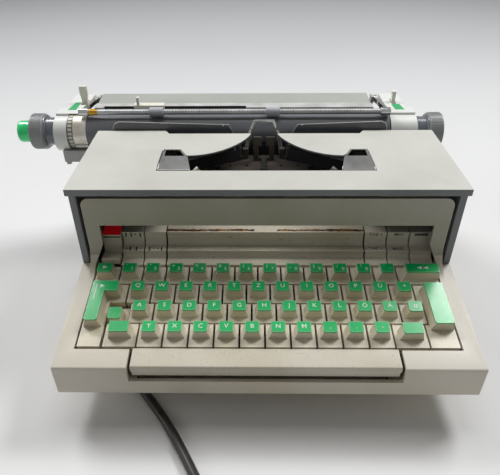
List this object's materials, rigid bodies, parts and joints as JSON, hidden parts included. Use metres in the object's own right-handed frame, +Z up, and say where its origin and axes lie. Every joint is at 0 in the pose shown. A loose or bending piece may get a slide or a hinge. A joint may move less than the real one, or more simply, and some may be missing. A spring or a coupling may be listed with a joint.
{
  "type": "electric typewriter",
  "caption": "Desktop electric typewriter with a sliding carriage, rubber platen, paper bail, staggered keyboard, space bar, stepped control keys and a mains lead with a plug.",
  "frame": {"origin": "middle of the machine's footprint box, at the underside of the feet, with the carriage at rest and without the lead", "axes": "+X to the typist's right, +Y away from the typist, +Z up"},
  "size_m": [0.4104, 0.5148, 0.1714],
  "materials": {
    "tray_plastic": "satin",
    "wall_paint": "satin",
    "cover_paint": "satin",
    "chassis_paint": "matt",
    "black_rubber": "matt",
    "steel": "bright",
    "strip_plastic": "satin",
    "segment_iron": "dark",
    "guide_paint": "dark satin",
    "card_plate": "dark satin",
    "bright_chrome": "polished",
    "ink_ribbon": "matt",
    "motor_paint": "matt",
    "key_plastic": "satin, with green gloss tops",
    "bar_plastic": "satin",
    "switch_red": "gloss",
    "spool_plastic": "satin",
    "carriage_paint": "satin",
    "end_paint": "satin",
    "table_paint": "satin",
    "rail_aluminium": "brushed",
    "ivory_plastic": "gloss",
    "platen_rubber": "smooth",
    "knob_plastic": "satin",
    "button_green": "gloss",
    "lead_plastic": "satin",
    "plug_plastic": "satin"
  },
  "bodies": {
    "case": {"lower_case": "tray_plastic", "upper_case": "wall_paint", "top_cover": "cover_paint", "base_plate": "chassis_paint", "rubber_feet": "black_rubber", "base_screws": "steel", "control_strip": "strip_plastic", "side_frames": "steel", "cross_shafts": "steel", "type_segment": "segment_iron", "type_bars": "steel", "type_guide": "guide_paint", "card_plates": "card_plate", "spool_guards": "bright_chrome", "ribbon": "ink_ribbon", "motor": "motor_paint", "drive_belt": "black_rubber", "carriage_rails": "steel", "strain_relief": "black_rubber", "mains_lead": "lead_plastic", "lead_coil": "lead_plastic", "mains_plug": "plug_plastic"},
    "number_row": {"number_row_keys": "key_plastic"},
    "upper_row": {"upper_row_keys": "key_plastic"},
    "home_row": {"home_row_keys": "key_plastic"},
    "bottom_row": {"bottom_row_keys": "key_plastic"},
    "space_bar": {"space_bar": "bar_plastic"},
    "shift": {"shift_keys": "key_plastic"},
    "shift_lock": {"shift_lock_key": "key_plastic"},
    "margin_release": {"margin_release_key": "key_plastic"},
    "tabulator": {"tabulator_key": "key_plastic"},
    "backspace": {"backspace_key": "key_plastic"},
    "return_key_body": {"return_key": "key_plastic"},
    "power_switch": {"power_switch": "switch_red"},
    "repeat_key": {"repeat_key": "strip_plastic"},
    "line_space_rocker": {"line_space_rocker": "strip_plastic"},
    "spacing_rocker": {"spacing_rocker": "strip_plastic"},
    "tab_rocker": {"tab_rocker": "strip_plastic"},
    "impression_rocker": {"impression_rocker": "strip_plastic"},
    "ribbon_selector_rocker": {"ribbon_rocker": "strip_plastic"},
    "middle_type_bar": {"middle_type_bar": "steel"},
    "ribbon_vibrator": {"ribbon_vibrator": "bright_chrome"},
    "left_spool": {"left_ribbon_spool": "spool_plastic"},
    "right_spool": {"right_ribbon_spool": "spool_plastic"},
    "power_roll": {"power_roll": "steel"},
    "motor_pulley": {"motor_pulley": "steel"},
    "carriage": {"carriage_frame": "carriage_paint", "left_end_cover": "end_paint", "right_end_cover": "end_paint", "paper_table": "table_paint", "margin_rail": "rail_aluminium"},
    "margin_stop": {"margin_stop": "ivory_plastic"},
    "paper_bail": {"paper_bail": "bright_chrome"},
    "bail_rollers": {"bail_rollers": "bright_chrome"},
    "platen": {"platen": "platen_rubber", "platen_shaft": "bright_chrome", "platen_knobs": "knob_plastic"},
    "push_button": {"platen_push_button": "button_green"},
    "carriage_release": {"carriage_release_lever": "ivory_plastic"},
    "paper_release": {"paper_release_lever": "ivory_plastic"}
  },
  "joints": [
    {"name": "number_row_press", "type": "hinge", "parent": "case", "child": "number_row", "pos_m": [0.03495, 0.0297, 0.06], "axis": [1, 0, 0], "range_deg": [0, 2.37], "stiffness_Nm_per_rad": 8, "springref_deg": -2.86},
    {"name": "upper_row_press", "type": "hinge", "parent": "case", "child": "upper_row", "pos_m": [0.03495, 0.0297, 0.06], "axis": [1, 0, 0], "range_deg": [0, 1.96], "stiffness_Nm_per_rad": 8, "springref_deg": -2.86},
    {"name": "home_row_press", "type": "hinge", "parent": "case", "child": "home_row", "pos_m": [0.03495, 0.0297, 0.06], "axis": [1, 0, 0], "range_deg": [0, 1.66], "stiffness_Nm_per_rad": 8, "springref_deg": -2.86},
    {"name": "bottom_row_press", "type": "hinge", "parent": "case", "child": "bottom_row", "pos_m": [0.03495, 0.0297, 0.06], "axis": [1, 0, 0], "range_deg": [0, 1.45], "stiffness_Nm_per_rad": 8, "springref_deg": -2.86},
    {"name": "space_bar_press", "type": "hinge", "parent": "case", "child": "space_bar", "pos_m": [0.03495, 0.0297, 0.06], "axis": [1, 0, 0], "range_deg": [0, 1.25], "stiffness_Nm_per_rad": 4, "springref_deg": -2.86},
    {"name": "shift_press", "type": "hinge", "parent": "case", "child": "shift", "pos_m": [0.03495, 0.0297, 0.06], "axis": [1, 0, 0], "range_deg": [0, 1.45], "stiffness_Nm_per_rad": 3, "springref_deg": -2.86},
    {"name": "shift_lock_press", "type": "hinge", "parent": "case", "child": "shift_lock", "pos_m": [0.03495, 0.0297, 0.06], "axis": [1, 0, 0], "range_deg": [0, 1.45], "stiffness_Nm_per_rad": 1.2, "springref_deg": -2.86},
    {"name": "margin_release_press", "type": "hinge", "parent": "case", "child": "margin_release", "pos_m": [0.03495, 0.0297, 0.06], "axis": [1, 0, 0], "range_deg": [0, 2.37], "stiffness_Nm_per_rad": 1.2, "springref_deg": -2.86},
    {"name": "tabulator_press", "type": "hinge", "parent": "case", "child": "tabulator", "pos_m": [0.03495, 0.0297, 0.06], "axis": [1, 0, 0], "range_deg": [0, 1.66], "stiffness_Nm_per_rad": 1.6, "springref_deg": -2.86},
    {"name": "backspace_press", "type": "hinge", "parent": "case", "child": "backspace", "pos_m": [0.03495, 0.0297, 0.06], "axis": [1, 0, 0], "range_deg": [0, 2.37], "stiffness_Nm_per_rad": 1.2, "springref_deg": -2.86},
    {"name": "return_press", "type": "hinge", "parent": "case", "child": "return_key_body", "pos_m": [0.03495, 0.0297, 0.06], "axis": [1, 0, 0], "range_deg": [0, 1.66], "stiffness_Nm_per_rad": 1.8, "springref_deg": -2.86},
    {"name": "power_switch_tilt", "type": "hinge", "parent": "case", "child": "power_switch", "pos_m": [0.03495, -0.0333, 0.066], "axis": [1, 0, 0], "range_deg": [-4, 0]},
    {"name": "repeat_key_press", "type": "slide", "parent": "case", "child": "repeat_key", "axis": [0, 0, -1], "range_m": [0, 0.003], "stiffness_N_per_m": 150, "springref_m": -0.002},
    {"name": "line_space_tilt", "type": "hinge", "parent": "case", "child": "line_space_rocker", "pos_m": [0.03495, -0.0333, 0.066], "axis": [1, 0, 0], "range_deg": [-2.5, 2.5]},
    {"name": "spacing_tilt", "type": "hinge", "parent": "case", "child": "spacing_rocker", "pos_m": [0.03495, -0.0333, 0.066], "axis": [1, 0, 0], "range_deg": [-2.5, 2.5]},
    {"name": "impression_tilt", "type": "hinge", "parent": "case", "child": "impression_rocker", "pos_m": [0.03495, -0.0333, 0.066], "axis": [1, 0, 0], "range_deg": [-2.5, 2.5]},
    {"name": "ribbon_selector_tilt", "type": "hinge", "parent": "case", "child": "ribbon_selector_rocker", "pos_m": [0.03495, -0.0333, 0.066], "axis": [1, 0, 0], "range_deg": [-2.5, 2.5]},
    {"name": "tab_tilt", "type": "hinge", "parent": "case", "child": "tab_rocker", "pos_m": [0.03495, -0.0333, 0.066], "axis": [1, 0, 0], "range_deg": [-2.5, 2.5], "stiffness_Nm_per_rad": 0.3},
    {"name": "type_bar_swing", "type": "hinge", "parent": "case", "child": "middle_type_bar", "pos_m": [0.03495, 0.03907, 0.07992], "axis": [-1, 0, 0], "range_deg": [0, 79]},
    {"name": "vibrator_lift", "type": "slide", "parent": "case", "child": "ribbon_vibrator", "axis": [0, 0, 1], "range_m": [0, 0.006]},
    {"name": "left_spool_spin", "type": "hinge", "parent": "case", "child": "left_spool", "pos_m": [-0.05205, 0.0057, 0.125], "axis": [0, 0, 1], "continuous": true},
    {"name": "right_spool_spin", "type": "hinge", "parent": "case", "child": "right_spool", "pos_m": [0.12195, 0.0057, 0.125], "axis": [0, 0, 1], "continuous": true},
    {"name": "power_roll_spin", "type": "hinge", "parent": "case", "child": "power_roll", "pos_m": [0.03495, 0.0577, 0.042], "axis": [1, 0, 0], "continuous": true},
    {"name": "motor_spin", "type": "hinge", "parent": "case", "child": "motor_pulley", "pos_m": [0.11495, 0.1017, 0.054], "axis": [1, 0, 0], "continuous": true},
    {"name": "carriage_slide", "type": "slide", "parent": "case", "child": "carriage", "axis": [1, 0, 0], "range_m": [-0.105, 0.15]},
    {"name": "margin_stop_slide", "type": "slide", "parent": "carriage", "child": "margin_stop", "axis": [1, 0, 0], "range_m": [-0.029, 0.08]},
    {"name": "paper_bail_lift", "type": "hinge", "parent": "carriage", "child": "paper_bail", "pos_m": [0.00695, 0.1357, 0.15], "axis": [-1, 0, 0], "range_deg": [0, 75]},
    {"name": "bail_roller_spin", "type": "hinge", "parent": "paper_bail", "child": "bail_rollers", "pos_m": [-0.01185, 0.0797, 0.1584], "axis": [1, 0, 0], "continuous": true},
    {"name": "platen_turn", "type": "hinge", "parent": "carriage", "child": "platen", "pos_m": [0.00695, 0.0847, 0.137], "axis": [1, 0, 0], "continuous": true},
    {"name": "push_button_press", "type": "slide", "parent": "platen", "child": "push_button", "axis": [1, 0, 0], "range_m": [0, 0.004], "stiffness_N_per_m": 300, "springref_m": -0.003},
    {"name": "carriage_release_tilt", "type": "hinge", "parent": "carriage", "child": "carriage_release", "pos_m": [-0.14805, 0.1157, 0.142], "axis": [1, 0, 0], "range_deg": [0, 12], "stiffness_Nm_per_rad": 0.2, "springref_deg": -2.86},
    {"name": "paper_release_tilt", "type": "hinge", "parent": "carriage", "child": "paper_release", "pos_m": [0.16495, 0.1157, 0.142], "axis": [1, 0, 0], "range_deg": [0, 12]}
  ],
  "couplings": [
    {"joint": "shift_lock_press", "follows": "shift_press", "ratio": 1},
    {"joint": "right_spool_spin", "follows": "left_spool_spin", "ratio": 1},
    {"joint": "motor_spin", "follows": "power_roll_spin", "ratio": 2.0909}
  ]
}
